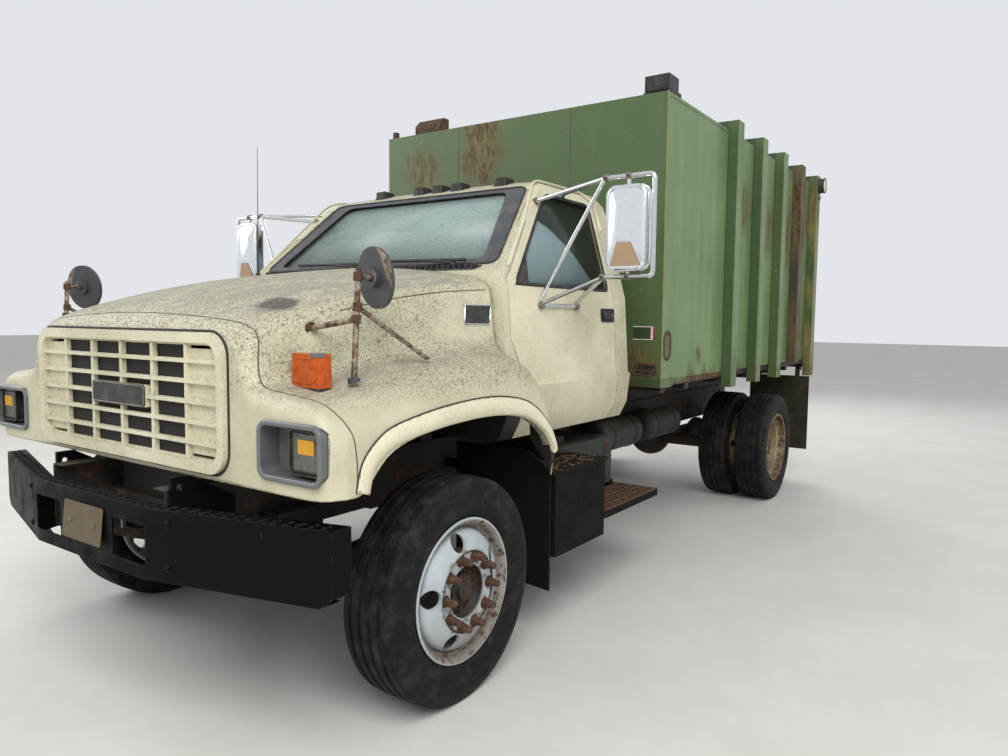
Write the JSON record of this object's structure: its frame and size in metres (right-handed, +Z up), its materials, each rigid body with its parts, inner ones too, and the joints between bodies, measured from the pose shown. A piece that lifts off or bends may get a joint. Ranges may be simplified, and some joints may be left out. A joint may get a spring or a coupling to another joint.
{
  "type": "garbage truck",
  "caption": "Conventional-cab refuse truck with a ribbed steel box that tips on a rear hinge, a top-hung rear door, opening doors, tilting hood and steered front wheels.",
  "frame": {"origin": "centre of the bounding box, on the ground", "axes": "+X to the driver's (left) side, -Y to the front, +Z up"},
  "size_m": [3.118, 6.7, 3.0699],
  "materials": {
    "box_green": "weathered satin paint with rust",
    "cab_cream": "weathered gloss paint with mould specks",
    "chassis_dark": "dirty dark paint with rust",
    "step_black": "worn black paint",
    "tyre_rubber": "dusty rubber",
    "wheel_white": "chalky white paint with rust",
    "wheel_tan": "dusty tan paint",
    "flap_rubber": "aged rubber",
    "pane": "dusty glass",
    "mirror_steel": "bright with pitting",
    "black_plastic": "faded",
    "lamp_grey": "satin",
    "seat_vinyl": "worn",
    "bare_steel": "oily"
  },
  "bodies": {
    "chassis": {"frame_rails": "chassis_dark", "crossmembers": "chassis_dark", "front_bumper": "step_black", "engine_block": "chassis_dark", "radiator": "black_plastic", "front_axle": "chassis_dark", "leaf_springs": "chassis_dark", "rear_axle": "chassis_dark", "side_tanks": "step_black", "side_steps": "step_black", "cab_shell": "cab_cream", "cab_glass": "pane", "dashboard": "black_plastic", "seat_bench": "seat_vinyl", "wipers": "black_plastic"},
    "hood": {"hood_shell": "cab_cream", "grille": "cab_cream", "front_lamps": "lamp_grey", "hood_mirrors": "black_plastic"},
    "door_left": {"door_left": "cab_cream", "door_glass_left": "pane", "door_mirror_left": "mirror_steel"},
    "door_right": {"door_right": "cab_cream", "door_glass_right": "pane", "door_mirror_right": "mirror_steel"},
    "knuckle_left": {"knuckle_left": "chassis_dark"},
    "knuckle_right": {"knuckle_right": "chassis_dark"},
    "tie_rod": {"tie_rod": "chassis_dark"},
    "front_wheel_left": {"tyre_front_left": "tyre_rubber", "wheel_front_left": "wheel_white"},
    "front_wheel_right": {"tyre_front_right": "tyre_rubber", "wheel_front_right": "wheel_white"},
    "rear_wheels_left": {"tyres_rear_left": "tyre_rubber", "wheels_rear_left": "wheel_tan"},
    "rear_wheels_right": {"tyres_rear_right": "tyre_rubber", "wheels_rear_right": "wheel_tan"},
    "box": {"refuse_box": "box_green", "side_posts": "box_green", "roof_bows": "box_green", "box_subframe": "chassis_dark", "rear_mudflaps": "flap_rubber", "box_lamps": "lamp_grey"},
    "tailgate": {"tailgate": "box_green"},
    "hoist_barrel": {"hoist_barrel": "bare_steel"},
    "hoist_rod": {"hoist_rod": "bare_steel"}
  },
  "joints": [
    {"name": "steer_left", "type": "hinge", "parent": "chassis", "child": "knuckle_left", "pos_m": [0.9, -2.4, 0.465], "axis": [0, 0, 1], "range_deg": [-35, 35]},
    {"name": "steer_right", "type": "hinge", "parent": "chassis", "child": "knuckle_right", "pos_m": [-0.9, -2.4, 0.465], "axis": [0, 0, 1], "range_deg": [-35, 35]},
    {"name": "tie_rod_slide", "type": "slide", "parent": "chassis", "child": "tie_rod", "axis": [1, 0, 0], "range_m": [-0.12, 0.12]},
    {"name": "spin_front_left", "type": "hinge", "parent": "knuckle_left", "child": "front_wheel_left", "pos_m": [1.052, -2.4, 0.465], "axis": [1, 0, 0], "continuous": true},
    {"name": "spin_front_right", "type": "hinge", "parent": "knuckle_right", "child": "front_wheel_right", "pos_m": [-1.052, -2.4, 0.465], "axis": [1, 0, 0], "continuous": true},
    {"name": "spin_rear_left", "type": "hinge", "parent": "chassis", "child": "rear_wheels_left", "pos_m": [0.928, 2.045, 0.465], "axis": [1, 0, 0], "continuous": true},
    {"name": "spin_rear_right", "type": "hinge", "parent": "chassis", "child": "rear_wheels_right", "pos_m": [-0.928, 2.045, 0.465], "axis": [1, 0, 0], "continuous": true},
    {"name": "door_left_hinge", "type": "hinge", "parent": "chassis", "child": "door_left", "pos_m": [1.019, -1.775, 1.2], "axis": [0, 0, -1], "range_deg": [0, 55]},
    {"name": "door_right_hinge", "type": "hinge", "parent": "chassis", "child": "door_right", "pos_m": [-1.019, -1.775, 1.2], "axis": [0, 0, 1], "range_deg": [0, 55]},
    {"name": "hood_tilt", "type": "hinge", "parent": "chassis", "child": "hood", "pos_m": [0, -3.2, 0.935], "axis": [1, 0, 0], "range_deg": [0, 60]},
    {"name": "body_tilt", "type": "hinge", "parent": "chassis", "child": "box", "pos_m": [0, 3, 1.04], "axis": [-1, 0, 0], "range_deg": [0, 45]},
    {"name": "tailgate_hinge", "type": "hinge", "parent": "box", "child": "tailgate", "pos_m": [0, 3.29, 2.98], "axis": [1, 0, 0], "range_deg": [0, 80]},
    {"name": "hoist_swing", "type": "hinge", "parent": "chassis", "child": "hoist_barrel", "pos_m": [0, 1.35, 0.73], "axis": [-1, 0, 0], "range_deg": [0, 66.52]},
    {"name": "hoist_slide", "type": "slide", "parent": "hoist_barrel", "child": "hoist_rod", "axis": [0, -0.9765, 0.2155], "range_m": [0, 1.086]}
  ],
  "couplings": [
    {"joint": "steer_right", "follows": "steer_left", "ratio": 1},
    {"joint": "tie_rod_slide", "follows": "steer_left", "m_per_rad": -0.18},
    {"joint": "hoist_swing", "follows": "body_tilt", "ratio": 1.456},
    {"joint": "hoist_slide", "follows": "body_tilt", "m_per_rad": 1.3759}
  ]
}
